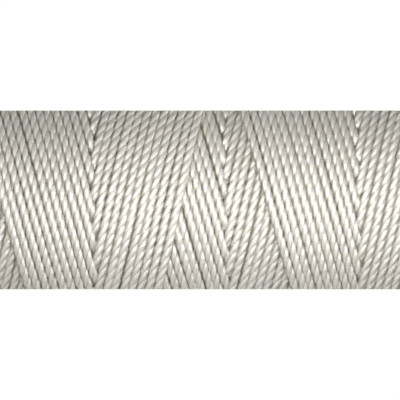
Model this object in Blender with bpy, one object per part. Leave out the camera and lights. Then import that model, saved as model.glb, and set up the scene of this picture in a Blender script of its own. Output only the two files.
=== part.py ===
"""A spool of 0.8 mm waxed sewing thread for leatherwork, standing on its base flange.

The spool is a plastic barrel between two flanges. Its top flange carries a snap cap, which lifts
to open a groove where the free end of the thread is parked. Sizes are in metres, +Z runs up the
spool's axis, and the origin is the middle of the base flange's lower face.
"""

from math import cos, pi, radians, sin

import bmesh
import bpy
from mathutils import Matrix, Vector

MM = 0.001

# Clearances. Solids that touch on the real spool stay FIT_GAP apart here.
FIT_GAP = 0.3 * MM

# Facets round a turned piece, and along each of its fillets
TURN_STEPS = 48
ARC_STEPS = 3

# The thread and its winding
THREAD_DIAMETER = 0.8 * MM
TRAVERSE = 53.0 * MM
WINDING_DEPTH = 5.3 * MM
OUTER_DIAMETERS = 3.25
WINDING_EDGE_RADIUS = 0.5 * MM

# The barrel and the bore that runs through the whole spool
BORE_RADIUS = 6.5 * MM
BARREL_RADIUS = 12.3 * MM
BARREL_WALL = 1.6 * MM
BARREL_CHAMFER = 0.3 * MM

# The flanges
FLANGE_REACH = 3.9 * MM
FLANGE_THICKNESS = 2.2 * MM
RIM_RADIUS = 0.9 * MM
EDGE_RADIUS = 0.35 * MM
SPIGOT_LENGTH = 6.0 * MM

# The parking groove between the top flange and the cap
GROOVE_DEPTH = 1.1 * MM
GROOVE_WIDTH = 2.0 * MM
LIP_WIDTH = 1.5 * MM
THREAD_SLOT_WIDTH = 2.4 * MM
THREAD_SLOT_ANGLE = radians(-140)
PARKED_TURN = radians(145)

# The snap cap: its plate, its split stem and the bead that stops it coming out
CAP_THICKNESS = 2.2 * MM
STEM_WALL = 1.7 * MM
STEM_BELOW_CATCH = 3.6 * MM
CAP_TRAVEL = 1.8 * MM
BEAD_HEIGHT = 0.8 * MM
BEAD_LENGTH = 1.2 * MM
FINGER_SLOT_WIDTH = 1.2 * MM
FINGER_LENGTH = 7.0 * MM
NAIL_NOTCH_RADIUS = 7.0 * MM
NAIL_NOTCH_DEPTH = 1.3 * MM
NAIL_NOTCH_ANGLES = (radians(-30), radians(150))

# The paper labels and their recesses
LABEL_THICKNESS = 0.2 * MM
LABEL_RECESS = 0.6 * MM
LABEL_BORDER = 3.0 * MM
HUB_BORDER = 2.0 * MM

# The inner end of the thread, knotted behind a hole in the barrel
START_HEIGHT = 12.0 * MM
START_ANGLE = radians(200)
KNOT_RADIUS = 0.9 * MM

# Heights and radii that follow from the sizes above
WINDING_RADIUS = BARREL_RADIUS + WINDING_DEPTH
FLANGE_RADIUS = WINDING_RADIUS + FLANGE_REACH
BETWEEN_FLANGES = TRAVERSE + THREAD_DIAMETER + 2 * FIT_GAP
BARREL_INSIDE = BARREL_RADIUS - BARREL_WALL
SPIGOT_RADIUS = BARREL_INSIDE - FIT_GAP
STEM_RADIUS = BORE_RADIUS + STEM_WALL
HUB_RADIUS = STEM_RADIUS + FIT_GAP
TOP_FLANGE_BOTTOM = FLANGE_THICKNESS + BETWEEN_FLANGES
TOP_FLANGE_TOP = TOP_FLANGE_BOTTOM + FLANGE_THICKNESS
GROOVE_FLOOR = TOP_FLANGE_TOP - GROOVE_DEPTH
CATCH_HEIGHT = TOP_FLANGE_BOTTOM - SPIGOT_LENGTH
CAP_BOTTOM = TOP_FLANGE_TOP + FIT_GAP
CAP_TOP = CAP_BOTTOM + CAP_THICKNESS
GROOVE_OUTSIDE = FLANGE_RADIUS - LIP_WIDTH
GROOVE_INSIDE = GROOVE_OUTSIDE - GROOVE_WIDTH
LABEL_OUTSIDE = FLANGE_RADIUS - LABEL_BORDER
LABEL_INSIDE = BORE_RADIUS + HUB_BORDER
STEM_BOTTOM = CATCH_HEIGHT - CAP_TRAVEL - STEM_BELOW_CATCH
HOLE_RADIUS = THREAD_DIAMETER / 2 + FIT_GAP


def material(name, colour, roughness, metallic=0.0):
    """One plain Principled material."""
    made = bpy.data.materials.new(name)
    made.use_nodes = True
    shader = made.node_tree.nodes["Principled BSDF"]
    shader.inputs["Base Color"].default_value = (*colour, 1.0)
    shader.inputs["Roughness"].default_value = roughness
    shader.inputs["Metallic"].default_value = metallic
    return made


def add_object(name, data, finish):
    """Links a new object that holds this mesh or curve."""
    made = bpy.data.objects.new(name, data)
    bpy.context.scene.collection.objects.link(made)
    if finish:
        data.materials.append(finish)
    return made


def rounded(corners):
    """A closed outline from (radius, height, fillet radius) corners, each fillet an arc."""
    outline = []
    for index, (r, z, fillet) in enumerate(corners):
        corner = Vector((r, z))
        if not fillet:
            outline.append(corner)
            continue
        before = (Vector(corners[index - 1][:2]) - corner).normalized()
        after = (Vector(corners[(index + 1) % len(corners)][:2]) - corner).normalized()
        half_angle = before.angle(after) / 2
        reach = fillet / sin(half_angle) * cos(half_angle)
        centre = corner + (before + after).normalized() * (fillet / sin(half_angle))
        start = corner + before * reach - centre
        end = corner + after * reach - centre
        sweep = start.angle(end)
        for step in range(ARC_STEPS + 1):
            swept = sweep * step / ARC_STEPS
            outline.append(centre + (start * sin(sweep - swept) + end * sin(swept)) / sin(sweep))
    return outline


def turned(name, corners, finish):
    """A ring turned about the Z axis. Its corners run down the outer side and up the inner one."""
    shape = bmesh.new()
    points = [shape.verts.new((p.x, 0.0, p.y)) for p in rounded(corners)]
    for first, second in zip(points, points[1:] + points[:1]):
        shape.edges.new((first, second))
    mesh = bpy.data.meshes.new(name)
    shape.to_mesh(mesh)
    shape.free()
    made = add_object(name, mesh, finish)
    screw = made.modifiers.new("turn", "SCREW")
    screw.axis = "Z"
    screw.angle = 2 * pi
    screw.steps = TURN_STEPS
    screw.render_steps = TURN_STEPS
    screw.use_merge_vertices = True
    screw.merge_threshold = 0.01 * MM
    screw.use_smooth_shade = True
    return made


def box_cutter(name, size, place, turn=0.0):
    """A box that cuts, centred at place and turned about the Z axis."""
    shape = bmesh.new()
    bmesh.ops.create_cube(shape, size=1.0)
    bmesh.ops.scale(shape, vec=size, verts=shape.verts)
    return cutter(name, shape, place, Matrix.Rotation(turn, 4, "Z"))


def round_cutter(name, radius, length, place, turn):
    """A cylinder that cuts, centred at place, its axis turned from Z by the matrix turn."""
    shape = bmesh.new()
    bmesh.ops.create_cone(
        shape, cap_ends=True, segments=24, radius1=radius, radius2=radius, depth=length
    )
    return cutter(name, shape, place, turn)


def cutter(name, shape, place, turn):
    """Links a cutting shape, which isn't part of the spool."""
    mesh = bpy.data.meshes.new(name)
    shape.to_mesh(mesh)
    shape.free()
    made = add_object(name, mesh, None)
    made.matrix_world = Matrix.Translation(place) @ turn
    made.hide_render = True
    made.display_type = "WIRE"
    return made


def cut(target, tool):
    """Takes the tool's shape out of the target."""
    boolean = target.modifiers.new("cut_" + tool.name, "BOOLEAN")
    boolean.operation = "DIFFERENCE"
    boolean.solver = "EXACT"
    boolean.object = tool


def at(radius, angle, height):
    """A point at this radius, angle and height about the spool's axis."""
    return Vector((radius * cos(angle), radius * sin(angle), height))


def make_barrel(plastic):
    """The tube that the thread is wound on, with the hole that its inner end comes through."""
    bottom = FLANGE_THICKNESS + FIT_GAP
    top = TOP_FLANGE_BOTTOM - FIT_GAP
    barrel = turned(
        "barrel",
        [
            (BARREL_RADIUS - BARREL_CHAMFER, top, 0),
            (BARREL_RADIUS, top - BARREL_CHAMFER, 0),
            (BARREL_RADIUS, bottom + BARREL_CHAMFER, 0),
            (BARREL_RADIUS - BARREL_CHAMFER, bottom, 0),
            (BARREL_INSIDE, bottom, 0),
            (BARREL_INSIDE, top, 0),
        ],
        plastic,
    )
    hole = round_cutter(
        "start_hole",
        HOLE_RADIUS,
        3 * BARREL_WALL,
        at(BARREL_RADIUS - BARREL_WALL / 2, START_ANGLE, START_HEIGHT),
        Matrix.Rotation(START_ANGLE, 4, "Z") @ Matrix.Rotation(pi / 2, 4, "Y"),
    )
    cut(barrel, hole)
    return barrel


def make_base_flange(plastic):
    """The flange that the spool stands on, with a spigot that fits up into the barrel."""
    return turned(
        "base_flange",
        [
            (FLANGE_RADIUS, FLANGE_THICKNESS, RIM_RADIUS),
            (FLANGE_RADIUS, 0.0, RIM_RADIUS),
            (LABEL_OUTSIDE, 0.0, 0),
            (LABEL_OUTSIDE, LABEL_RECESS, 0),
            (LABEL_INSIDE, LABEL_RECESS, 0),
            (LABEL_INSIDE, 0.0, 0),
            (BORE_RADIUS, 0.0, EDGE_RADIUS),
            (BORE_RADIUS, FLANGE_THICKNESS + SPIGOT_LENGTH, EDGE_RADIUS),
            (SPIGOT_RADIUS, FLANGE_THICKNESS + SPIGOT_LENGTH, EDGE_RADIUS),
            (SPIGOT_RADIUS, FLANGE_THICKNESS, 0),
        ],
        plastic,
    )


def make_top_flange(plastic):
    """The fixed flange below the cap. Its rim is the floor of the parking groove."""
    flange = turned(
        "top_flange",
        [
            (GROOVE_INSIDE, TOP_FLANGE_TOP, EDGE_RADIUS),
            (GROOVE_INSIDE, GROOVE_FLOOR, 0),
            (FLANGE_RADIUS, GROOVE_FLOOR, EDGE_RADIUS),
            (FLANGE_RADIUS, TOP_FLANGE_BOTTOM, EDGE_RADIUS),
            (SPIGOT_RADIUS, TOP_FLANGE_BOTTOM, 0),
            (SPIGOT_RADIUS, CATCH_HEIGHT, EDGE_RADIUS),
            (HUB_RADIUS, CATCH_HEIGHT, 0),
            (HUB_RADIUS, TOP_FLANGE_TOP, EDGE_RADIUS),
        ],
        plastic,
    )
    slot_inside = GROOVE_INSIDE + FIT_GAP
    slot_length = 2 * (FLANGE_RADIUS - slot_inside)
    slot = box_cutter(
        "thread_slot",
        (slot_length, THREAD_SLOT_WIDTH, 4 * FLANGE_THICKNESS),
        at(slot_inside + slot_length / 2, THREAD_SLOT_ANGLE, TOP_FLANGE_BOTTOM),
        THREAD_SLOT_ANGLE,
    )
    cut(flange, slot)
    for number, angle in enumerate(NAIL_NOTCH_ANGLES, 1):
        notch = round_cutter(
            f"nail_notch_{number}",
            NAIL_NOTCH_RADIUS,
            4 * FLANGE_THICKNESS,
            at(FLANGE_RADIUS + NAIL_NOTCH_RADIUS - NAIL_NOTCH_DEPTH, angle, TOP_FLANGE_TOP),
            Matrix.Identity(4),
        )
        cut(flange, notch)
    return flange


def make_lock_cap(plastic):
    """The snap cap: a plate with a lip round the groove, and a stem split into four fingers."""
    bead_top = CATCH_HEIGHT - CAP_TRAVEL - FIT_GAP
    bead_radius = min(STEM_RADIUS + BEAD_HEIGHT, BARREL_INSIDE - FIT_GAP)
    cap = turned(
        "lock_cap",
        [
            (FLANGE_RADIUS, CAP_TOP, RIM_RADIUS),
            (FLANGE_RADIUS, GROOVE_FLOOR + FIT_GAP, EDGE_RADIUS),
            (GROOVE_OUTSIDE, GROOVE_FLOOR + FIT_GAP, EDGE_RADIUS),
            (GROOVE_OUTSIDE, CAP_BOTTOM, 0),
            (STEM_RADIUS, CAP_BOTTOM, 0),
            (STEM_RADIUS, bead_top, 0),
            (bead_radius, bead_top, 0),
            (bead_radius, bead_top - BEAD_LENGTH, 0),
            (BORE_RADIUS + STEM_WALL / 2, STEM_BOTTOM, 0),
            (BORE_RADIUS, STEM_BOTTOM, 0),
            (BORE_RADIUS, CAP_TOP, EDGE_RADIUS),
            (LABEL_INSIDE, CAP_TOP, 0),
            (LABEL_INSIDE, CAP_TOP - LABEL_RECESS, 0),
            (LABEL_OUTSIDE, CAP_TOP - LABEL_RECESS, 0),
            (LABEL_OUTSIDE, CAP_TOP, 0),
        ],
        plastic,
    )
    for number in (1, 2):
        slot = box_cutter(
            f"finger_slot_{number}",
            (4 * BARREL_RADIUS, FINGER_SLOT_WIDTH, 2 * FINGER_LENGTH),
            Vector((0.0, 0.0, STEM_BOTTOM)),
            number * pi / 2,
        )
        cut(cap, slot)
    return cap


def make_label(name, recess_floor, faces_up, paper):
    """A paper ring glued into the recess of a flange or of the cap."""
    near = recess_floor + (FIT_GAP if faces_up else -FIT_GAP)
    far = near + (LABEL_THICKNESS if faces_up else -LABEL_THICKNESS)
    bottom, top = sorted((near, far))
    outside = LABEL_OUTSIDE - FIT_GAP
    inside = LABEL_INSIDE + FIT_GAP
    return turned(
        name,
        [(outside, top, 0), (outside, bottom, 0), (inside, bottom, 0), (inside, top, 0)],
        paper,
    )


def make_layers(name, inside, outside, edge_radius, thread):
    """Wound thread as one plain ring between the flanges."""
    bottom = FLANGE_THICKNESS + FIT_GAP
    top = TOP_FLANGE_BOTTOM - FIT_GAP
    return turned(
        name,
        [
            (outside, top, edge_radius),
            (outside, bottom, edge_radius),
            (inside, bottom, 0),
            (inside, top, 0),
        ],
        thread,
    )


def make_thread(name, points, thread):
    """A length of thread as a plain tube through these points."""
    curve = bpy.data.curves.new(name, "CURVE")
    curve.dimensions = "3D"
    curve.bevel_depth = THREAD_DIAMETER / 2
    curve.bevel_resolution = 2
    curve.use_fill_caps = True
    spline = curve.splines.new("POLY")
    spline.points.add(len(points) - 1)
    for point, place in zip(spline.points, points):
        point.co = (*place, 1.0)
    return add_object(name, curve, thread)


def smooth_route(knots, steps):
    """Points along a Catmull-Rom curve through the knots, with this many steps between each pair."""
    ends = [2 * knots[0] - knots[1], *knots, 2 * knots[-1] - knots[-2]]
    route = []
    for a, b, c, d in zip(ends, ends[1:], ends[2:], ends[3:]):
        for step in range(steps):
            t = step / steps
            route.append(
                b
                + (c - a) * (t / 2)
                + (2 * a - 5 * b + 4 * c - d) * (t * t / 2)
                + (3 * b - a - 3 * c + d) * (t * t * t / 2)
            )
    return [*route, knots[-1]]


def make_thread_end(thread):
    """The free end: off the winding, up through the slot and round the parking groove."""
    on_winding = WINDING_RADIUS + FIT_GAP + THREAD_DIAMETER / 2
    in_groove = (GROOVE_INSIDE + GROOVE_OUTSIDE) / 2
    under_flange = TOP_FLANGE_BOTTOM - FIT_GAP - THREAD_DIAMETER / 2
    slot_middle = (TOP_FLANGE_BOTTOM + GROOVE_FLOOR) / 2
    on_floor = GROOVE_FLOOR + FIT_GAP + THREAD_DIAMETER / 2
    lean = ((THREAD_SLOT_WIDTH - THREAD_DIAMETER) / 2 - FIT_GAP) / in_groove
    # Radius, angle from the slot and height of each knot, from the winding to the groove.
    route = [
        (on_winding, -18.0 * lean, under_flange - 2.6 * THREAD_DIAMETER),
        (on_winding, -12.5 * lean, under_flange - 1.9 * THREAD_DIAMETER),
        ((3 * on_winding + in_groove) / 4, -7.0 * lean, under_flange - 1.0 * THREAD_DIAMETER),
        ((on_winding + 3 * in_groove) / 4, -3.0 * lean, under_flange - 0.25 * THREAD_DIAMETER),
        (in_groove, -lean, TOP_FLANGE_BOTTOM),
        (in_groove, 0.0, slot_middle),
        (in_groove, lean, GROOVE_FLOOR),
        (in_groove, 2.6 * lean, on_floor),
    ]
    route += [(in_groove, 4.0 * lean + PARKED_TURN * step / 15, on_floor) for step in range(16)]
    knots = [at(radius, THREAD_SLOT_ANGLE + turn, height) for radius, turn, height in route]
    return make_thread("thread_end", smooth_route(knots, 2), thread)


def make_thread_start(thread):
    """The inner end: a knot inside the barrel and the stretch that passes through its wall."""
    knot_centre = BARREL_INSIDE - FIT_GAP - KNOT_RADIUS
    shape = bmesh.new()
    bmesh.ops.create_icosphere(shape, subdivisions=2, radius=KNOT_RADIUS)
    mesh = bpy.data.meshes.new("start_knot")
    shape.to_mesh(mesh)
    shape.free()
    mesh.shade_smooth()
    knot = add_object("start_knot", mesh, thread)
    knot.location = at(knot_centre, START_ANGLE, START_HEIGHT)
    near = knot_centre + KNOT_RADIUS + FIT_GAP
    far = BARREL_RADIUS
    through = [
        at(near + (far - near) * step / 3, START_ANGLE, START_HEIGHT) for step in range(4)
    ]
    make_thread("thread_start", through, thread)


def main():
    for old in list(bpy.data.objects):
        bpy.data.objects.remove(old)
    plastic = material("spool_plastic", (0.80, 0.79, 0.75), 0.42)
    paper = material("label_paper", (0.72, 0.62, 0.45), 0.8)
    thread = material("waxed_thread", (0.78, 0.76, 0.68), 0.45)
    make_barrel(plastic)
    make_base_flange(plastic)
    make_top_flange(plastic)
    make_lock_cap(plastic)
    make_label("base_label", LABEL_RECESS, False, paper)
    make_label("cap_label", CAP_TOP - LABEL_RECESS, True, paper)
    between = WINDING_RADIUS - OUTER_DIAMETERS * THREAD_DIAMETER
    make_layers("inner_thread_layers", BARREL_RADIUS + FIT_GAP, between - FIT_GAP, 0, thread)
    make_layers("outer_thread_layers", between, WINDING_RADIUS, WINDING_EDGE_RADIUS, thread)
    make_thread_end(thread)
    make_thread_start(thread)


main()
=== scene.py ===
"""The looks of a spool of waxed leatherworking thread, built piece by piece round its CAD model."""

from math import cos, pi, radians, sin, tan, tau

import bmesh
import bpy
import numpy as np
from mathutils import Matrix, Vector


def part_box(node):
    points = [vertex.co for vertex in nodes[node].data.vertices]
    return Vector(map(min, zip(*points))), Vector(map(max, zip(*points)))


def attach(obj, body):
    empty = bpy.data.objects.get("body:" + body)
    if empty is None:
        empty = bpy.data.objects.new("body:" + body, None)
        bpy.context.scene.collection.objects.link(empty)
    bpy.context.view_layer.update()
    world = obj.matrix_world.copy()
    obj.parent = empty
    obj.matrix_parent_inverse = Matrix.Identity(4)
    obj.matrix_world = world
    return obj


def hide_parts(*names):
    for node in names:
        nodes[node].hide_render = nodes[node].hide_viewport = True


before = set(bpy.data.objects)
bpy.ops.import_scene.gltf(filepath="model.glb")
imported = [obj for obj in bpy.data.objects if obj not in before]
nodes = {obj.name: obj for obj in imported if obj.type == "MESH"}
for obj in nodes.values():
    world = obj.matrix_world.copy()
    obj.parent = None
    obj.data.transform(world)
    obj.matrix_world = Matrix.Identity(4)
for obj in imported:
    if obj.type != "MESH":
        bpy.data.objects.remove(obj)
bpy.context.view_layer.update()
MM = 0.001
scene = bpy.context.scene

# ------------------------------------------------------------------------------------------------
# The camera, the cards and the lights
# The spool is lit by soft boxes and shot through a long lens. The camera is turned on its side, so
# that the spool's axis lies across the frame, and a little past that, as a hand-held swatch lies.
# Two white cards close to the lens trim the view to a strip of the winding.
# ------------------------------------------------------------------------------------------------
thread_ring_low, thread_ring_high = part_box("outer_thread_layers")
winding_radius = thread_ring_high.x
winding_middle = (thread_ring_low.z + thread_ring_high.z) / 2

FRAME_WIDTH = 39.6 * MM
CAMERA_DISTANCE = 600 * MM
AIM_BELOW_MIDDLE = 2.57 * MM
SENSOR = 36.0
HAND_TILT = 0.0225
FACE_RADIUS = winding_radius - 0.4 * MM

camera_data = bpy.data.cameras.new("swatch_camera")
camera_data.sensor_width = SENSOR
camera_data.lens = SENSOR * (CAMERA_DISTANCE - FACE_RADIUS) / FRAME_WIDTH
camera_data.clip_start = 1 * MM
camera_data.clip_end = 10.0
camera = bpy.data.objects.new("swatch_camera", camera_data)
scene.collection.objects.link(camera)
image_right = Vector((HAND_TILT, 0.0, 1.0)).normalized()
image_up = Vector((-1.0, 0.0, HAND_TILT)).normalized()
image_back = image_right.cross(image_up)
turn = Matrix((image_right, image_up, image_back)).transposed().to_4x4()
place = Vector((0.0, -CAMERA_DISTANCE, winding_middle - AIM_BELOW_MIDDLE))
camera.matrix_world = Matrix.Translation(place) @ turn
scene.camera = camera
scene.view_settings.view_transform = "Standard"

CARD_DISTANCE = 8 * MM
CARD_TOP_EDGE = 0.4475
CARD_BOTTOM_EDGE = 0.4465
CARD_REACH = 1.3
card_middle = place - image_back * CARD_DISTANCE
half_view = CARD_DISTANCE * FRAME_WIDTH / 2 / (CAMERA_DISTANCE - FACE_RADIUS)
card_white = bpy.data.materials.new("card_white")
card_white.use_nodes = True
card_nodes = card_white.node_tree.nodes
card_nodes.clear()
glow = card_nodes.new("ShaderNodeEmission")
glow.inputs["Color"].default_value = (1.0, 1.0, 1.0, 1.0)
glow.inputs["Strength"].default_value = 1.05
card_output = card_nodes.new("ShaderNodeOutputMaterial")
card_white.node_tree.links.new(glow.outputs[0], card_output.inputs["Surface"])
for name, near, far in (
    ("upper_card", CARD_TOP_EDGE, CARD_REACH),
    ("lower_card", -CARD_BOTTOM_EDGE, -CARD_REACH),
):
    corners = [
        card_middle + image_right * (side * half_view) + image_up * (up * half_view)
        for side, up in ((-CARD_REACH, near), (CARD_REACH, near), (CARD_REACH, far), (-CARD_REACH, far))
    ]
    card_mesh = bpy.data.meshes.new(name)
    card_mesh.from_pydata(corners, [], [(0, 1, 2, 3)])
    card_mesh.materials.append(card_white)
    card = bpy.data.objects.new(name, card_mesh)
    scene.collection.objects.link(card)
    card.visible_diffuse = False
    card.visible_glossy = False
    card.visible_transmission = False
    card.visible_shadow = False

FLOOR_HALF = 6.0
floor_mesh = bpy.data.meshes.new("floor")
floor_mesh.from_pydata(
    [(x * FLOOR_HALF, y * FLOOR_HALF, 0.0) for x, y in ((-1, -1), (1, -1), (1, 1), (-1, 1))],
    [],
    [(0, 1, 2, 3)],
)
floor_paper = bpy.data.materials.new("floor_paper")
floor_paper.use_nodes = True
floor_shader = floor_paper.node_tree.nodes["Principled BSDF"]
floor_shader.inputs["Base Color"].default_value = (0.82, 0.82, 0.82, 1.0)
floor_shader.inputs["Roughness"].default_value = 0.9
floor_mesh.materials.append(floor_paper)
floor = bpy.data.objects.new("floor", floor_mesh)
scene.collection.objects.link(floor)
floor.visible_diffuse = False

# The soft boxes leave the floor out. The only lamp on it is the one overhead, so it stays even.
floor_left_out = bpy.data.collections.new("floor_left_out")
floor_left_out.objects.link(floor)
floor_left_out.collection_objects[0].light_linking.link_state = "EXCLUDE"

# The room is dim, so that the lamps shape the thread, but its far wall is a bright sheet of paper.
world = bpy.data.worlds.new("studio")
world.use_nodes = True
world_nodes, world_links = world.node_tree.nodes, world.node_tree.links
room = world_nodes["Background"]
room.inputs["Color"].default_value = (1.0, 0.995, 0.985, 1.0)
seen = world_nodes.new("ShaderNodeLightPath")
brightness = world_nodes.new("ShaderNodeMapRange")
brightness.inputs["To Min"].default_value = 0.03
brightness.inputs["To Max"].default_value = 0.775
world_links.new(seen.outputs["Is Camera Ray"], brightness.inputs["Value"])
world_links.new(brightness.outputs["Result"], room.inputs["Strength"])
scene.world = world


def soft_box(name, azimuth, height, distance, width, tall, power, spread=180):
    """An area lamp that faces the middle of the spool. Azimuth 0 is in front and 90 on the right."""
    lamp = bpy.data.lights.new(name, "AREA")
    lamp.shape = "RECTANGLE"
    lamp.size = width
    lamp.size_y = tall
    lamp.energy = power
    lamp.spread = radians(spread)
    lamp.color = (1.0, 0.985, 0.955)
    made = bpy.data.objects.new(name, lamp)
    scene.collection.objects.link(made)
    made.visible_camera = False
    made.light_linking.receiver_collection = floor_left_out
    angle = radians(azimuth)
    spot = Vector((distance * sin(angle), -distance * cos(angle), height))
    towards = Vector((0.0, 0.0, winding_middle)) - spot
    facing = towards.to_track_quat("-Z", "Y").to_matrix().to_4x4()
    made.matrix_world = Matrix.Translation(spot) @ facing


soft_box(
    "front_strip",
    azimuth=4,
    height=0.035,
    distance=0.050,
    width=0.012,
    tall=0.075,
    power=0.0102,
    spread=110,
)
for name, azimuth in (("right_box", 125), ("left_box", -125)):
    soft_box(name, azimuth, height=0.12, distance=0.60, width=0.30, tall=0.30, power=1.3)
soft_box(
    "back_strip",
    azimuth=180,
    height=0.035,
    distance=0.080,
    width=0.030,
    tall=0.080,
    power=0.022,
    spread=110,
)

# A broad sheet of light overhead, which falls on the floor and the cap and only grazes the winding.
ceiling = bpy.data.lights.new("ceiling", "SUN")
ceiling.energy = 3.0
ceiling.angle = radians(40)
ceiling.color = (1.0, 0.995, 0.985)
scene.collection.objects.link(bpy.data.objects.new("ceiling", ceiling))

# ------------------------------------------------------------------------------------------------
# The wound thread
# Three plies of bonded filament, twisted to the right and dressed with wax, wound by a machine
# that turns the spool a little over four times for each double stroke of its guide.
# ------------------------------------------------------------------------------------------------
THREAD_DIAMETER = 0.8 * MM
PLY_LAY = 3.38 * MM
PLY_GROOVE = 0.11 * MM
PRESSED_WIDE = 1.27
PRESSED_FLAT = 0.95
STATION = 0.32 * MM
LAYER_RISE = 0.62 * MM
TURN_ROUNDING = 0.6 * MM
PIECES = 8
LET_GO_TURN = 0.15
DRIFT_SIDEWAYS = 0.03 * MM
DRIFT_OUTWARDS = 0.015 * MM
DRIFT_WAVES = 12

# The pattern closes after this many double strokes, each a little further round than the last.
STROKES = 31

stroke_length = thread_ring_high.z - thread_ring_low.z - THREAD_DIAMETER
guide_bottom = thread_ring_low.z + THREAD_DIAMETER / 2
step_round = 1 / STROKES
turns_per_stroke = 4 + step_round
advance = 2 * stroke_length / turns_per_stroke
pitch = advance * step_round
top_centre_radius = winding_radius - THREAD_DIAMETER / 2

# The phase of the winding: where its last stroke passes the front of the spool.
LAST_STROKE_AT_FRONT = 4.55 * MM
start_angle = radians(-90) - tau * (STROKES * step_round + LAST_STROKE_AT_FRONT / advance)


def waver(turns, seed, reach):
    """Slow drift along the thread: the sum of sine waves of chance lengths and phases.

    The mean square of that sum is near half the number of waves, so reach is the drift's root mean
    square.
    """
    chance = np.random.default_rng(seed)
    rates = chance.uniform(0.35, 4.5, DRIFT_WAVES)
    phases = chance.uniform(0.0, tau, DRIFT_WAVES)
    waves = np.sin(tau * turns[:, None] * rates + phases)
    return reach * waves.sum(axis=1) / np.sqrt(DRIFT_WAVES / 2)


def eased(share):
    """0 to 1 with a level start and end: 3s^2 - 2s^3."""
    share = np.clip(share, 0.0, 1.0)
    return share * share * (3.0 - 2.0 * share)


def winding_line(turns):
    """The thread's centre for each number of turns of the spool.

    Up and down the spool the guide makes a triangle wave with rounded tips. The radius is the
    number of layers below: it climbs steadily between crossings with the newest thread of the
    other slope, and drops one layer just after each of them.
    """
    stroke = np.floor(turns / turns_per_stroke)
    within = turns - stroke * turns_per_stroke
    half = turns_per_stroke / 2
    rising = within < half
    from_bottom = np.minimum(within, turns_per_stroke - within) * advance
    from_top = np.abs(within - half) * advance
    height = np.where(
        from_top < from_bottom,
        stroke_length - np.hypot(from_top, TURN_ROUNDING),
        np.hypot(from_bottom, TURN_ROUNDING),
    )
    plain = np.where(rising, within, turns_per_stroke - within) * advance
    since = np.where(rising, 2 * plain / advance, -(2 * plain - pitch) / advance) % 1.0
    base = 2 * (stroke + np.where(rising, 0.0, 0.5)) / STROKES
    after_turn = np.where(rising, within, within - half)
    level = base - eased(since / step_round) + since
    level -= 1.0 - eased(after_turn * advance / (pitch / 2))
    angle = start_angle + tau * turns
    return angle, height, level


def headings(centres):
    """The unit vector along a line of points at each of them, from its two neighbours."""
    forwards = np.gradient(centres, axis=0)
    return forwards / np.linalg.norm(forwards, axis=1)[:, None]


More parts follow.
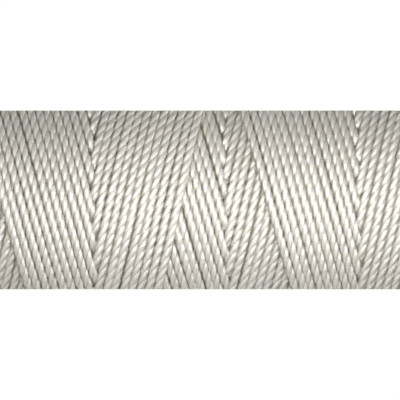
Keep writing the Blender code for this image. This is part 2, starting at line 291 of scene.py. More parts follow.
def twisted_tube(name, centres, forwards, outwards, turned, material_used, along, bedded=0.0):
    """A closed tube of three plies carried along a line. bedded is 1 where neighbours press on it and
    shade is painted.

    The section is a circle with three grooves, whose depth grows with the square of the distance
    from a ply's crown. It turns with the distance along the line, so that every edge of the mesh
    follows a ply, and it is pressed wide and flat afterwards.
    """
    count = len(centres)
    normals = outwards - forwards * (outwards * forwards).sum(axis=1)[:, None]
    normals /= np.linalg.norm(normals, axis=1)[:, None]
    sideways = np.cross(forwards, normals)
    # Five points across each ply, in shares of its width, from the valley at its first side.
    shares = np.array([-0.5, -0.39, -0.14, 0.14, 0.39])
    around = 3 * len(shares)
    angles = (np.arange(3)[:, None] + shares).ravel() * tau / 3
    radii = THREAD_DIAMETER / 2 - PLY_GROOVE * np.abs(2 * np.tile(shares, 3)) ** 2
    spun = turned[:, None] + angles
    points = (
        centres[:, None]
        + (PRESSED_FLAT * np.cos(spun) * radii)[..., None] * normals[:, None]
        + (PRESSED_WIDE * np.sin(spun) * radii)[..., None] * sideways[:, None]
    )
    ring = np.arange(around)
    rows = np.arange(count - 1)[:, None] * around
    quads = np.stack(
        [
            rows + ring,
            rows + (ring + 1) % around,
            rows + around + (ring + 1) % around,
            rows + around + ring,
        ],
        axis=-1,
    ).reshape(-1, 4)
    first_cap = ring[::-1]
    last_cap = ring + (count - 1) * around
    corners = np.concatenate([quads.ravel(), first_cap, last_cap])
    starts = np.concatenate([np.arange(len(quads)) * 4, len(quads) * 4 + np.array([0, around])])
    mesh = bpy.data.meshes.new(name)
    mesh.vertices.add(count * around)
    mesh.vertices.foreach_set("co", points.astype(np.float32).ravel())
    mesh.loops.add(len(corners))
    mesh.loops.foreach_set("vertex_index", corners.astype(np.int32))
    mesh.polygons.add(len(starts))
    mesh.polygons.foreach_set("loop_start", starts.astype(np.int32))
    smooth = np.ones(len(starts), dtype=bool)
    smooth[-2:] = False
    mesh.polygons.foreach_set("use_smooth", smooth)
    mesh.update(calc_edges=True)
    # 0 on the side that faces out, and 1 on the flanks and below where neighbours press on them: the
    # mask of a painted shade.
    flank_shade = mesh.attributes.new("flank_shade", "FLOAT", "POINT")
    flank_shade.data.foreach_set("value", (bedded * (1.0 - np.clip(np.cos(spun), 0.0, 1.0))).ravel())
    # The thread's own map: once round the thread across, and millimetres of thread upwards.
    across = np.stack([ring, ring + 1, ring + 1, ring], axis=-1) / around
    upwards = np.stack([along[:-1], along[:-1], along[1:], along[1:]], axis=-1) / MM
    layer = np.zeros((len(corners), 2))
    layer[: len(quads) * 4, 0] = np.tile(across.ravel(), count - 1)
    layer[: len(quads) * 4, 1] = np.repeat(upwards[:, None], around, axis=1).ravel()
    own_map = mesh.uv_layers.new(name="thread_map")
    own_map.uv.foreach_set("vector", layer.astype(np.float32).ravel())
    # The same strip cut into rows that fill a square, with the two ends in the last row's corner.
    last_row_spare = 0.1
    row_margin = 0.02
    rows_used = max(1, round(float(np.sqrt((along[-1] - along[0]) / (pi * THREAD_DIAMETER)))))
    row_length = int(np.ceil((count - 1) / (rows_used - last_row_spare)))
    segment = np.arange(count - 1)
    left = (segment % row_length) / row_length
    right = left + 1 / row_length
    row = (segment // row_length)[:, None, None]
    square = np.zeros((len(corners), 2))
    ends = np.stack([left, left, right, right], axis=1)
    square[: len(quads) * 4, 0] = np.repeat(ends[:, None], around, axis=1).ravel()
    within_row = row_margin + (1 - 2 * row_margin) * across[None]
    square[: len(quads) * 4, 1] = ((row + within_row) / rows_used).ravel()
    end_round = tau * ring / around
    for centre, first in ((0.25, len(quads) * 4), (0.75, len(quads) * 4 + around)):
        cap = slice(first, first + around)
        square[cap, 0] = 1 - last_row_spare * (centre + 0.2 * np.cos(end_round))
        square[cap, 1] = 1 - (0.5 + 0.3 * np.sin(end_round)) / rows_used
    bake_map = mesh.uv_layers.new(name="OFBake")
    bake_map.uv.foreach_set("vector", square.astype(np.float32).ravel())
    mesh.uv_layers.active = own_map
    mesh.materials.append(material_used)
    made = bpy.data.objects.new(name, mesh)
    scene.collection.objects.link(made)
    return made


def nodes_of(material_name):
    """A new material with its Principled shader, and short calls that add and join its nodes."""
    made = bpy.data.materials.new(material_name)
    made.use_nodes = True
    tree = made.node_tree
    return made, tree.nodes["Principled BSDF"], tree.nodes.new, tree.links.new


def noise_on(new, link, vector, scale, detail):
    """A noise texture that reads this vector."""
    texture = new("ShaderNodeTexNoise")
    texture.inputs["Scale"].default_value = scale
    texture.inputs["Detail"].default_value = detail
    link(vector, texture.inputs["Vector"])
    return texture.outputs["Fac"]


def two_tones(new, link, amount, low, high, dark, light):
    """A colour that runs from dark to light as amount runs from low to high."""
    ramp = new("ShaderNodeValToRGB")
    ramp.color_ramp.elements[0].position = low
    ramp.color_ramp.elements[0].color = (*dark, 1.0)
    ramp.color_ramp.elements[1].position = high
    ramp.color_ramp.elements[1].color = (*light, 1.0)
    link(amount, ramp.inputs["Fac"])
    return ramp.outputs["Color"]


def bumped(new, link, shader, height, strength, distance):
    """Presses a height pattern into the shader's surface."""
    bump = new("ShaderNodeBump")
    bump.inputs["Strength"].default_value = strength
    bump.inputs["Distance"].default_value = distance
    link(height, bump.inputs["Height"])
    link(bump.outputs["Normal"], shader.inputs["Normal"])


def thread_finish():
    """Waxed ivory filament: fine lines across the plies, painted shade in ply valleys, slow patches of
    tone.
    """
    made, shader, new, link = nodes_of("waxed_thread_ivory")
    own_map = new("ShaderNodeUVMap")
    own_map.uv_map = "thread_map"
    parts = new("ShaderNodeSeparateXYZ")
    link(own_map.outputs["UV"], parts.inputs[0])

    def number(operation, first, second=None, third=None):
        node = new("ShaderNodeMath")
        node.operation = operation
        for socket, value in zip(node.inputs, (first, second, third)):
            if value is None:
                continue
            if isinstance(value, (int, float)):
                socket.default_value = value
            else:
                link(value, socket)
        return node.outputs[0]

    around, along = parts.outputs["X"], parts.outputs["Y"]
    # Filaments run nearly straight down the thread, so they cross the plies at the lay's angle.
    filament = number("MULTIPLY_ADD", along, MM / PLY_LAY, around)
    filament_place = new("ShaderNodeCombineXYZ")
    link(number("MULTIPLY", filament, 95.0), filament_place.inputs[0])
    link(number("MULTIPLY", along, 0.9), filament_place.inputs[1])
    filaments = noise_on(new, link, filament_place.outputs[0], 1.0, 2.0)
    patch_place = new("ShaderNodeCombineXYZ")
    link(number("MULTIPLY", around, 1.5), patch_place.inputs[0])
    link(number("MULTIPLY", along, 0.13), patch_place.inputs[1])
    patches = noise_on(new, link, patch_place.outputs[0], 1.0, 3.0)
    # 1 on the crown of each ply and 0 in the valley between two, where the colour is a painted shade.
    crown = number("MULTIPLY_ADD", number("COSINE", number("MULTIPLY", around, 3 * tau)), -0.5, 0.5)
    tone_and_valley_shade = number("MULTIPLY_ADD", patches, 0.30, number("MULTIPLY", crown, 0.85))
    # The ramp's dark end paints shade into the ply valleys; the patches are the thread's own random
    # tone.
    tone = two_tones(new, link, tone_and_valley_shade, 0.0, 0.55, (0.50, 0.47, 0.385), (0.75, 0.735, 0.705))
    # A painted shade in the groove between two neighbours, as a thin olive line.
    flank_shade = new("ShaderNodeAttribute")
    flank_shade.attribute_name = "flank_shade"
    groove = new("ShaderNodeMapRange")
    groove.interpolation_type = "SMOOTHSTEP"
    groove.inputs["From Min"].default_value = 0.25
    groove.inputs["From Max"].default_value = 0.50
    groove.inputs["To Max"].default_value = 0.55
    link(flank_shade.outputs["Fac"], groove.inputs["Value"])
    groove_shaded = new("ShaderNodeMixRGB")
    groove_shaded.inputs["Color2"].default_value = (0.42, 0.38, 0.25, 1.0)
    link(groove.outputs["Result"], groove_shaded.inputs["Fac"])
    link(tone, groove_shaded.inputs["Color1"])
    link(groove_shaded.outputs[0], shader.inputs["Base Color"])
    link(number("MULTIPLY_ADD", filaments, 0.14, 0.34), shader.inputs["Roughness"])
    bumped(new, link, shader, filaments, 0.25, 0.02 * MM)
    # The filaments lie along the plies, so the gloss is wide across them and narrow along them.
    across_plies = new("ShaderNodeTangent")
    across_plies.direction_type = "UV_MAP"
    across_plies.uv_map = "thread_map"
    link(across_plies.outputs["Tangent"], shader.inputs["Tangent"])
    shader.inputs["Anisotropic"].default_value = 0.8
    shader.inputs["Anisotropic Rotation"].default_value = 0.35
    shader.inputs["Metallic"].default_value = 0.25
    shader.inputs["IOR"].default_value = 1.9
    return made


thread_material = thread_finish()

turn_length = np.hypot(tau * (winding_radius - THREAD_DIAMETER), advance)
all_turns = STROKES * turns_per_stroke + turns_per_stroke / 2
stations = int(all_turns * turn_length / STATION)
turns = np.linspace(0.0, all_turns, stations)
angle, height, level = winding_line(turns)
radius = top_centre_radius + LAYER_RISE * (level - level.max())
height = height + waver(turns, 11, DRIFT_SIDEWAYS)
radius = radius + waver(turns, 12, DRIFT_OUTWARDS)
line = np.stack([radius * np.cos(angle), radius * np.sin(angle), guide_bottom + height], axis=1)
forward = headings(line)
outward = np.stack([np.cos(angle), np.sin(angle), np.zeros(stations)], axis=1)
run = np.concatenate([[0.0], np.cumsum(np.linalg.norm(np.diff(line, axis=0), axis=1))])
twist = tau * run / PLY_LAY

# The last part of a turn is left to the free end, which takes over where the thread lets go.
let_go = int((stations - 1) * (1.0 - LET_GO_TURN / all_turns))


def buried_station(nominal):
    """The station within half a turn of this one that a later and higher turn passes nearest to."""
    stride = 3
    half_turn = int(stations / all_turns / 2)
    nearby = np.arange(nominal - half_turn, nominal + half_turn, stride)
    later = np.arange(nominal + 3 * half_turn, let_go, stride)
    on_surface = outward * winding_radius + (0.0, 0.0, 1.0) * height[:, None]
    apart = np.linalg.norm(on_surface[nearby, None] - on_surface[None, later], axis=2)
    apart[radius[None, later] < radius[nearby, None] + THREAD_DIAMETER / 2] = np.inf
    return nearby[np.argmin(apart) // len(later)]


cuts = np.linspace(0, let_go, PIECES + 1).astype(int)
cuts[1:-1] = [buried_station(cut) for cut in cuts[1:-1]]
for number_of_piece, (first, last) in enumerate(zip(cuts[:-1], cuts[1:]), 1):
    stretch = slice(first, last + 1)
    wound = twisted_tube(
        f"wound_thread_{number_of_piece}",
        line[stretch],
        forward[stretch],
        outward[stretch],
        twist[stretch],
        thread_material,
        run[stretch],
        bedded=1.0,
    )
    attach(wound, "spool")
    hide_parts("outer_thread_layers")

# ------------------------------------------------------------------------------------------------
# The free end of the thread
# The last turn leaves the winding, climbs through the slot in the top flange and lies in the
# parking groove under the cap. It is the same thread, cut square with shears.
# ------------------------------------------------------------------------------------------------
FIT_GAP = 0.3 * MM
SLOT_ANGLE = radians(-140)
SLOT_WIDTH = 2.4 * MM
PARKED_TURN = radians(145)
GROOVE_MIDDLE = 19.0 * MM
FLANGE_THICKNESS = 2.2 * MM
GROOVE_DEPTH = 1.1 * MM
FINE_STATION = 0.12 * MM
PARKED_KNOTS = 15


def smooth_line(knots, spacing):
    """Points at an even spacing along a Catmull-Rom curve, and their distances along it.

    Between knots b and c, with a before and d after them and a share t of the way from b to c:
    b + (c - a)t/2 + (2a - 5b + 4c - d)t^2/2 + (3b - a - 3c + d)t^3/2.
    """
    ends = np.concatenate([2 * knots[:1] - knots[1:2], knots, 2 * knots[-1:] - knots[-2:-1]])
    a, b, c, d = (ends[start : start + len(knots) - 1, None] for start in range(4))
    t = np.linspace(0.0, 1.0, 40, endpoint=False)[None, :, None]
    curve = b + (c - a) * t / 2 + (2 * a - 5 * b + 4 * c - d) * t**2 / 2
    curve = (curve + (3 * b - a - 3 * c + d) * t**3 / 2).reshape(-1, 3)
    curve = np.concatenate([curve, knots[-1:]])
    length = np.concatenate([[0.0], np.cumsum(np.linalg.norm(np.diff(curve, axis=0), axis=1))])
    even = np.linspace(0.0, length[-1], int(length[-1] / spacing) + 1)
    return np.stack([np.interp(even, length, curve[:, axis]) for axis in range(3)], axis=1), even


on_winding = winding_radius + FIT_GAP + THREAD_DIAMETER / 2
under_flange = thread_ring_high.z - THREAD_DIAMETER / 2
flange_bottom = thread_ring_high.z + FIT_GAP
groove_floor = flange_bottom + FLANGE_THICKNESS - GROOVE_DEPTH
on_floor = groove_floor + FIT_GAP + THREAD_DIAMETER / 2
lean = ((SLOT_WIDTH - THREAD_DIAMETER) / 2 - FIT_GAP) / GROOVE_MIDDLE
# Radius, angle from the slot and height of each knot, from where the winding lets go.
from_slot = (angle[let_go] - SLOT_ANGLE + pi) % tau - pi
route = [
    (radius[let_go], from_slot, guide_bottom + height[let_go]),
    (on_winding, -18.0 * lean, under_flange - 2.6 * THREAD_DIAMETER),
    (on_winding, -12.5 * lean, under_flange - 1.9 * THREAD_DIAMETER),
    ((3 * on_winding + GROOVE_MIDDLE) / 4, -7.0 * lean, under_flange - 1.0 * THREAD_DIAMETER),
    ((on_winding + 3 * GROOVE_MIDDLE) / 4, -3.0 * lean, under_flange - 0.25 * THREAD_DIAMETER),
    (GROOVE_MIDDLE, -lean, flange_bottom),
    (GROOVE_MIDDLE, 0.0, (flange_bottom + groove_floor) / 2),
    (GROOVE_MIDDLE, lean, groove_floor),
    (GROOVE_MIDDLE, 2.6 * lean, on_floor),
]
route += [
    (GROOVE_MIDDLE, 4.0 * lean + PARKED_TURN * step / PARKED_KNOTS, on_floor)
    for step in range(PARKED_KNOTS + 1)
]
near, turned, up = np.array(route).T
# Two more knots between the first pair keep the thread round the winding there.
shares = np.array([1 / 3, 2 / 3])
near, turned, up = (
    np.concatenate([row[:1], row[0] + (row[1] - row[0]) * shares, row[1:]])
    for row in (near, turned, up)
)
turned = turned + SLOT_ANGLE
end_line, end_run = smooth_line(
    np.stack([near * np.cos(turned), near * np.sin(turned), up], axis=1), FINE_STATION
)
end_outward = end_line * (1.0, 1.0, 0.0)
end_outward /= np.linalg.norm(end_outward, axis=1)[:, None]
parked_end = twisted_tube(
    "parked_thread_end",
    end_line,
    headings(end_line),
    end_outward,
    twist[let_go] + tau * end_run / PLY_LAY,
    thread_material,
    run[let_go] + end_run,
)
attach(parked_end, "spool")
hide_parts("thread_end")

# ------------------------------------------------------------------------------------------------
# The inner end of the thread
# Before winding starts, the thread is drawn through a hole in the barrel from outside, and an
# overhand knot inside the barrel keeps it from pulling back.
# ------------------------------------------------------------------------------------------------
barrel_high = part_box("barrel")[1]
knot_low, knot_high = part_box("start_knot")
KNOT_SCALE = 0.34 * MM
KNOT_OPENING = 0.45

knot_middle = (knot_low + knot_high) / 2
to_hole = (knot_middle * Vector((1.0, 1.0, 0.0))).normalized()
beside = Vector((0.0, 0.0, 1.0)).cross(to_hole)
upright = to_hole.cross(beside)
through_wall = barrel_high.x - knot_middle.to_2d().length
# An overhand knot is a trefoil cut open at the tip of one loop. In units of KNOT_SCALE the trefoil
# is (sin t + 2 sin 2t, cos t - 2 cos 2t, -sin 3t). The cut is at t = pi, where it is at (0, -3, 0),
# and that point is moved onto the line through the hole.
t = np.linspace(pi + KNOT_OPENING, 3 * pi - KNOT_OPENING, 22)
trefoil = np.stack(
    [np.sin(t) + 2 * np.sin(2 * t), np.cos(t) - 2 * np.cos(2 * t) + 3, -np.sin(3 * t)],
    axis=1,
)
tail = np.array([[-2.2, 1.4, -3.4], [-1.5, 0.4, -2.3]])
standing = np.array([[0.9, 0.1, 2.1], [0.2, 0.0, 3.4]])
knot = np.concatenate([tail, trefoil, standing]) * KNOT_SCALE
knot = np.concatenate([knot, [[0.0, 0.0, share * through_wall] for share in (0.75, 0.9, 1.0)]])
axes = np.array([beside, -upright, to_hole])
start_line, start_run = smooth_line(np.array(knot_middle) + knot @ axes, FINE_STATION)
start_forward = headings(start_line)
# Outwards is carried along the thread from its tail without turning round it.
start_outward = np.empty_like(start_line)
carried = np.cross(start_forward[0], np.array(upright))
for step, direction in enumerate(start_forward):
    carried = carried - direction * (carried @ direction)
    carried /= np.linalg.norm(carried)
    start_outward[step] = carried
knotted_start = twisted_tube(
    "knotted_thread_start",
    start_line,
    start_forward,
    start_outward,
    tau * start_run / PLY_LAY,
    thread_material,
    start_run,
)
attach(knotted_start, "spool")
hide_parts("start_knot", "thread_start")

# ------------------------------------------------------------------------------------------------
# The inner layers of thread
# Everything below the outer layers is the same thread, packed tight. Only its ends can be seen,
# edge on, in the narrow gaps beside the flanges.
# ------------------------------------------------------------------------------------------------
packed_thread, shader, new, link = nodes_of("packed_thread")
place = new("ShaderNodeTexCoord").outputs["Object"]
rows = new("ShaderNodeTexWave")
rows.bands_direction = "Z"
# A wave texture repeats every tau / (20 x its scale).
rows.inputs["Scale"].default_value = tau / (20 * pitch)
rows.inputs["Distortion"].default_value = 1.5
link(place, rows.inputs["Vector"])
# The dark part of each wave is a painted shade between the packed rows of thread.
tone = two_tones(new, link, rows.outputs["Fac"], 0.1, 0.7, (0.48, 0.46, 0.39), (0.74, 0.72, 0.68))
link(tone, shader.inputs["Base Color"])
shader.inputs["Roughness"].default_value = 0.5
bumped(new, link, shader, rows.outputs["Fac"], 0.8, 0.3 * MM)
nodes["inner_thread_layers"].material_slots[0].material = packed_thread

# ------------------------------------------------------------------------------------------------
# The base flange
# A moulded ring of ivory polystyrene with a round rim, pressed into the barrel by its spigot. Its
# underside has a shallow recess for the label, and its bore fits the spindle of a thread stand.
# ------------------------------------------------------------------------------------------------
base_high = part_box("base_flange")[1]
base_label_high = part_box("base_label")[1]
BORE_RADIUS = 6.5 * MM
HUB_BORDER = 2.0 * MM
BARREL_WALL = 1.6 * MM
RIM_RADIUS = 0.9 * MM
EDGE_RADIUS = 0.35 * MM
SHARP_EDGE = 0.12 * MM
LABEL_RECESS = 0.6 * MM
ARC_POINTS = 7
TURN_POINTS = 192

flange_radius = base_high.x
label_outside = base_label_high.x + FIT_GAP
label_inside = BORE_RADIUS + HUB_BORDER
spigot_radius = barrel_high.x - BARREL_WALL - FIT_GAP


def speckle_group():
    """Slow blotches, fine grain and sparse rubbed scratches, on a piece's Object coordinates.

    The blotches and the grain are noise. A scratch is where a noise stretched forty times as long
    as it is wide comes within a hair of its middle value.
    """
    group = bpy.data.node_groups.new("handling_marks", "ShaderNodeTree")
    for name, kind, value in (("Blotch Size", "INPUT", 9.0), ("Grain Size", "INPUT", 0.25)):
        socket = group.interface.new_socket(name, in_out=kind, socket_type="NodeSocketFloat")
        socket.default_value = value
    for name in ("Blotches", "Grain", "Scratches"):
        group.interface.new_socket(name, in_out="OUTPUT", socket_type="NodeSocketFloat")
    new, link = group.nodes.new, group.links.new
    given, result = new("NodeGroupInput"), new("NodeGroupOutput")
    place = new("ShaderNodeTexCoord").outputs["Object"]
    for size, out in (("Blotch Size", "Blotches"), ("Grain Size", "Grain")):
        scale = new("ShaderNodeMath")
        scale.operation = "DIVIDE"
        scale.inputs[0].default_value = 1 / MM
        link(given.outputs[size], scale.inputs[1])
        texture = new("ShaderNodeTexNoise")
        texture.inputs["Detail"].default_value = 3.0
        link(place, texture.inputs["Vector"])
        link(scale.outputs[0], texture.inputs["Scale"])
        link(texture.outputs["Fac"], result.inputs[out])
    stretch = new("ShaderNodeMapping")
    stretch.vector_type = "TEXTURE"
    stretch.inputs["Rotation"].default_value = (0.5, 0.3, 0.9)
    stretch.inputs["Scale"].default_value = (0.8 * MM, 33 * MM, 33 * MM)
    link(place, stretch.inputs["Vector"])
    streaks = new("ShaderNodeTexNoise")
    streaks.inputs["Scale"].default_value = 1.0
    streaks.inputs["Detail"].default_value = 0.0
    link(stretch.outputs["Vector"], streaks.inputs["Vector"])
    from_middle = new("ShaderNodeMath")
    from_middle.operation = "COMPARE"
    from_middle.inputs[1].default_value = 0.74
    from_middle.inputs[2].default_value = 0.012
    link(streaks.outputs["Fac"], from_middle.inputs[0])
    link(from_middle.outputs[0], result.inputs["Scratches"])
    return group


handling_marks = speckle_group()


def mixed_number(new, link, first, share, second):
    """first x share + second, where second is a number or a socket."""
    node = new("ShaderNodeMath")
    node.operation = "MULTIPLY_ADD"
    link(first, node.inputs[0])
    node.inputs[1].default_value = share
    if isinstance(second, float):
        node.inputs[2].default_value = second
    else:
        link(second, node.inputs[2])
    return node.outputs[0]


def moulded_ivory():
    """Ivory polystyrene from a spark-eroded mould: satin, faintly blotched, finely scratched."""
    made, shader, new, link = nodes_of("moulded_ivory")
    marks = new("ShaderNodeGroup")
    marks.node_tree = handling_marks
    marks.inputs["Blotch Size"].default_value = 7.0
    marks.inputs["Grain Size"].default_value = 0.22
    blotches, grain, scratches = (marks.outputs[name] for name in ("Blotches", "Grain", "Scratches"))
    tone = two_tones(new, link, blotches, 0.3, 0.7, (0.745, 0.73, 0.67), (0.81, 0.80, 0.75))
    link(tone, shader.inputs["Base Color"])
    worn = mixed_number(new, link, blotches, 0.16, mixed_number(new, link, grain, 0.10, 0.26))
    link(mixed_number(new, link, scratches, 0.12, worn), shader.inputs["Roughness"])
    texture = mixed_number(new, link, scratches, -0.5, grain)
    bumped(new, link, shader, texture, 0.22, 0.03 * MM)
    shader.inputs["IOR"].default_value = 1.58
    return made


ivory = moulded_ivory()


def rounded_outline(corners):
    """The points of a closed outline whose corners are (radius, height, fillet).

    A fillet meets the sides at fillet / tan(half the corner's angle) from the corner. Its points
    are the two radii to its ends, blended by the sines of the sweep left and the sweep done.
    """
    places = np.array([corner[:2] for corner in corners])
    share = np.linspace(0.0, 1.0, ARC_POINTS)[:, None]
    outline = []
    for index, (corner, (_, _, fillet)) in enumerate(zip(places, corners)):
        before = places[index - 1] - corner
        after = places[(index + 1) % len(places)] - corner
        before /= np.linalg.norm(before)
        after /= np.linalg.norm(after)
        half = np.arccos(before @ after) / 2
        middle = (before + after) / np.linalg.norm(before + after) * fillet / sin(half)
        start = before * fillet / tan(half) - middle
        end = after * fillet / tan(half) - middle
        sweep = pi - 2 * half
        blend = start * np.sin(sweep * (1 - share)) + end * np.sin(sweep * share)
        outline.append(corner + middle + blend / sin(sweep))
    return np.concatenate(outline)


def turned_mesh(outline, angles, closed):
    """Points and faces of an outline turned round the axis: (r cos a, r sin a, z) at each angle.

    The outline runs down its outer side. An open sweep has its two ends filled.
    """
    rows, count = len(angles), len(outline)
    r, z = outline.T
    points = np.stack(
        [np.outer(np.cos(angles), r), np.outer(np.sin(angles), r), np.tile(z, (rows, 1))],
        axis=-1,
    )
    ring = np.arange(count)
    row = (np.arange(rows if closed else rows - 1) * count)[:, None]
    after = (row + count) % (rows * count)
    quads = np.stack(
        [row + ring, row + (ring + 1) % count, after + (ring + 1) % count, after + ring],
        axis=-1,
    )
    faces = quads.reshape(-1, 4).tolist()
    if not closed:
        faces += [ring[::-1].tolist(), (ring + (rows - 1) * count).tolist()]
    return points.reshape(-1, 3), faces


def solid_from(name, parts, finish):
    """A smooth-shaded object made of one or more closed sets of points and faces."""
    all_points, all_faces, first = [], [], 0
    for points, faces in parts:
        all_points.append(points)
        all_faces += [[corner + first for corner in face] for face in faces]
        first += len(points)
    mesh = bpy.data.meshes.new(name)
    mesh.from_pydata(np.concatenate(all_points), [], all_faces)
    shape = bmesh.new()
    shape.from_mesh(mesh)
    bmesh.ops.recalc_face_normals(shape, faces=shape.faces)
    shape.to_mesh(mesh)
    shape.free()
    mesh.shade_smooth()
    mesh.set_sharp_from_angle(angle=radians(40))
    mesh.materials.append(finish)
    made = bpy.data.objects.new(name, mesh)
    scene.collection.objects.link(made)
    return made


all_round = np.linspace(0.0, tau, TURN_POINTS, endpoint=False)
base_outline = rounded_outline(
    [
        (flange_radius, FLANGE_THICKNESS, RIM_RADIUS),
        (flange_radius, 0.0, RIM_RADIUS),
        (label_outside, 0.0, SHARP_EDGE),
        (label_outside, LABEL_RECESS, SHARP_EDGE),
        (label_inside, LABEL_RECESS, SHARP_EDGE),
        (label_inside, 0.0, SHARP_EDGE),
        (BORE_RADIUS, 0.0, EDGE_RADIUS),
        (BORE_RADIUS, base_high.z, EDGE_RADIUS),
        (spigot_radius, base_high.z, EDGE_RADIUS),
        (spigot_radius, FLANGE_THICKNESS, SHARP_EDGE),
    ]
)
smooth_base = solid_from("moulded_base_flange", [turned_mesh(base_outline, all_round, True)], ivory)
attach(smooth_base, "spool")
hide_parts("base_flange")

# ------------------------------------------------------------------------------------------------
# The barrel and the top flange
# Two more mouldings of the same ivory plastic. The barrel is the core under the thread, with the
# hole for its inner end. The top flange is glued to it, and has the thread slot and nail notches.
# ------------------------------------------------------------------------------------------------
def smooth_copy(node, name, finish):
    """A copy of a CAD node with merged vertices, flat faces left flat and round ones smooth."""
    shape = bmesh.new()
    shape.from_mesh(nodes[node].data)
    bmesh.ops.remove_doubles(shape, verts=shape.verts, dist=0.002 * MM)
    bmesh.ops.dissolve_limit(
        shape, angle_limit=radians(0.5), verts=shape.verts, edges=shape.edges, delimit={"NORMAL"}
    )
    mesh = bpy.data.meshes.new(name)
    shape.to_mesh(mesh)
    shape.free()
    mesh.shade_smooth()
    mesh.set_sharp_from_angle(angle=radians(32))
    mesh.materials.clear()
    mesh.materials.append(finish)
    made = bpy.data.objects.new(name, mesh)
    scene.collection.objects.link(made)
    return made


for node in ("barrel", "top_flange"):
    moulding = smooth_copy(node, "moulded_" + node, ivory)
    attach(moulding, "spool")
    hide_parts(node)

# ------------------------------------------------------------------------------------------------
# The snap cap
# A moulded disc whose lip covers the parking groove. Its hollow stem runs down through the top
# flange and is split into four fingers, whose beads catch below the flange when it is lifted.
# ------------------------------------------------------------------------------------------------
cap_low, cap_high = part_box("lock_cap")
CAP_THICKNESS = 2.2 * MM
LIP_WIDTH = 1.5 * MM
STEM_WALL = 1.7 * MM
SPIGOT_LENGTH = 6.0 * MM
CAP_TRAVEL = 1.8 * MM
BEAD_HEIGHT = 0.8 * MM
BEAD_LENGTH = 1.2 * MM
FINGER_SLOT_WIDTH = 1.2 * MM
FINGER_LENGTH = 7.0 * MM

stem_radius = BORE_RADIUS + STEM_WALL
cap_bottom = cap_high.z - CAP_THICKNESS
groove_outside = flange_radius - LIP_WIDTH
bead_top = flange_bottom - SPIGOT_LENGTH - CAP_TRAVEL - FIT_GAP
finger_top = cap_low.z + FINGER_LENGTH
cap_outline = rounded_outline(
    [
        (flange_radius, cap_high.z, RIM_RADIUS),
        (flange_radius, groove_floor + FIT_GAP, EDGE_RADIUS),
        (groove_outside, groove_floor + FIT_GAP, EDGE_RADIUS),
        (groove_outside, cap_bottom, EDGE_RADIUS),
        (stem_radius, cap_bottom, EDGE_RADIUS),
        (stem_radius, finger_top, SHARP_EDGE),
        (BORE_RADIUS, finger_top, SHARP_EDGE),
        (BORE_RADIUS, cap_high.z, EDGE_RADIUS),
        (label_inside, cap_high.z, SHARP_EDGE),
        (label_inside, cap_high.z - LABEL_RECESS, SHARP_EDGE),
        (label_outside, cap_high.z - LABEL_RECESS, SHARP_EDGE),
        (label_outside, cap_high.z, SHARP_EDGE),
    ]
)
finger_outline = rounded_outline(
    [
        (stem_radius, finger_top + FIT_GAP, SHARP_EDGE),
        (stem_radius, bead_top, SHARP_EDGE),
        (stem_radius + BEAD_HEIGHT, bead_top, SHARP_EDGE),
        (stem_radius + BEAD_HEIGHT, bead_top - BEAD_LENGTH, SHARP_EDGE),
        (BORE_RADIUS + STEM_WALL / 2, cap_low.z, SHARP_EDGE),
        (BORE_RADIUS, cap_low.z, SHARP_EDGE),
        (BORE_RADIUS, finger_top + FIT_GAP, SHARP_EDGE),
    ]
)
half_slot = FINGER_SLOT_WIDTH / 2 / (BORE_RADIUS + STEM_WALL / 2)
cap_parts = [turned_mesh(cap_outline, all_round, True)]
for quarter in range(4):
    finger_round = np.linspace(half_slot, pi / 2 - half_slot, TURN_POINTS // 4) + quarter * pi / 2
    cap_parts.append(turned_mesh(finger_outline, finger_round, False))
smooth_cap = solid_from("moulded_snap_cap", cap_parts, ivory)
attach(smooth_cap, "snap_cap")
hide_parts("lock_cap")

# ------------------------------------------------------------------------------------------------
# The paper labels
# Rings of uncoated kraft paper, die cut and glued into the recesses of the base and of the cap.
# They are blank but for two thin printed lines round their borders.
# ------------------------------------------------------------------------------------------------
LABEL_EDGE = 0.05 * MM
LINE_INSETS = (1.0 * MM, 1.5 * MM)
LINE_HALF_WIDTH = 0.09 * MM


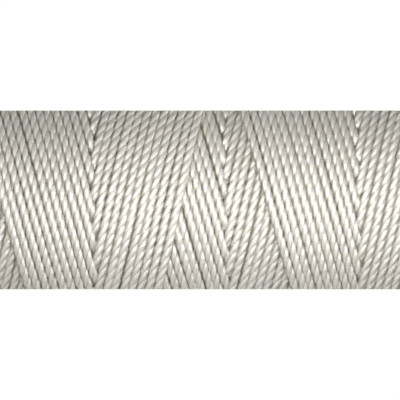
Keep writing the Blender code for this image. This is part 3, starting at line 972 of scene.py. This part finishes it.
def kraft_paper(outside, inside):
    """Kraft paper: fibres both ways over a blotched brown ground, with printed border lines."""
    made, shader, new, link = nodes_of("kraft_paper")
    marks = new("ShaderNodeGroup")
    marks.node_tree = handling_marks
    marks.inputs["Blotch Size"].default_value = 3.0
    marks.inputs["Grain Size"].default_value = 0.35
    place = new("ShaderNodeTexCoord").outputs["Object"]
    fibres = 0.0
    for turn in (0.4, 2.1):
        laid = new("ShaderNodeMapping")
        laid.vector_type = "TEXTURE"
        laid.inputs["Rotation"].default_value = (0.0, 0.0, turn)
        laid.inputs["Scale"].default_value = (1.1 * MM, 0.2 * MM, 1.0)
        link(place, laid.inputs["Vector"])
        texture = noise_on(new, link, laid.outputs["Vector"], 1.0, 2.0)
        fibres = mixed_number(new, link, texture, 1.0, fibres)
    ground = mixed_number(new, link, marks.outputs["Blotches"], 0.5, 0.25)
    shade = mixed_number(new, link, fibres, 0.5, mixed_number(new, link, ground, 0.6, -0.3))
    brown = two_tones(new, link, shade, 0.30, 0.72, (0.42, 0.30, 0.18), (0.62, 0.48, 0.32))
    # The printed lines are where the distance from the axis is near one of their radii.
    flat = new("ShaderNodeMapping")
    flat.inputs["Scale"].default_value = (1.0, 1.0, 0.0)
    link(place, flat.inputs["Vector"])
    distance = new("ShaderNodeVectorMath")
    distance.operation = "LENGTH"
    link(flat.outputs["Vector"], distance.inputs[0])
    printed = 0.0
    for radius_of_line in [outside - inset for inset in LINE_INSETS] + [inside + LINE_INSETS[0]]:
        near = new("ShaderNodeMath")
        near.operation = "COMPARE"
        near.inputs[1].default_value = radius_of_line
        near.inputs[2].default_value = LINE_HALF_WIDTH
        link(distance.outputs["Value"], near.inputs[0])
        printed = mixed_number(new, link, near.outputs[0], 1.0, printed)
    ink = new("ShaderNodeMixRGB")
    link(mixed_number(new, link, printed, 0.85, 0.0), ink.inputs["Fac"])
    link(brown, ink.inputs["Color1"])
    ink.inputs["Color2"].default_value = (0.09, 0.07, 0.055, 1.0)
    link(ink.outputs["Color"], shader.inputs["Base Color"])
    link(mixed_number(new, link, marks.outputs["Grain"], 0.2, 0.7), shader.inputs["Roughness"])
    bumped(new, link, shader, fibres, 0.5, 0.02 * MM)
    return made


paper_outside = label_outside - FIT_GAP
paper_inside = label_inside + FIT_GAP
kraft = kraft_paper(paper_outside, paper_inside)
for node, body in (("base_label", "spool"), ("cap_label", "snap_cap")):
    label_low, label_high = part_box(node)
    label_outline = rounded_outline(
        [
            (paper_outside, label_high.z, LABEL_EDGE),
            (paper_outside, label_low.z, LABEL_EDGE),
            (paper_inside, label_low.z, LABEL_EDGE),
            (paper_inside, label_high.z, LABEL_EDGE),
        ]
    )
    paper_ring = solid_from("paper_" + node, [turned_mesh(label_outline, all_round, True)], kraft)
    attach(paper_ring, body)
    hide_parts(node)
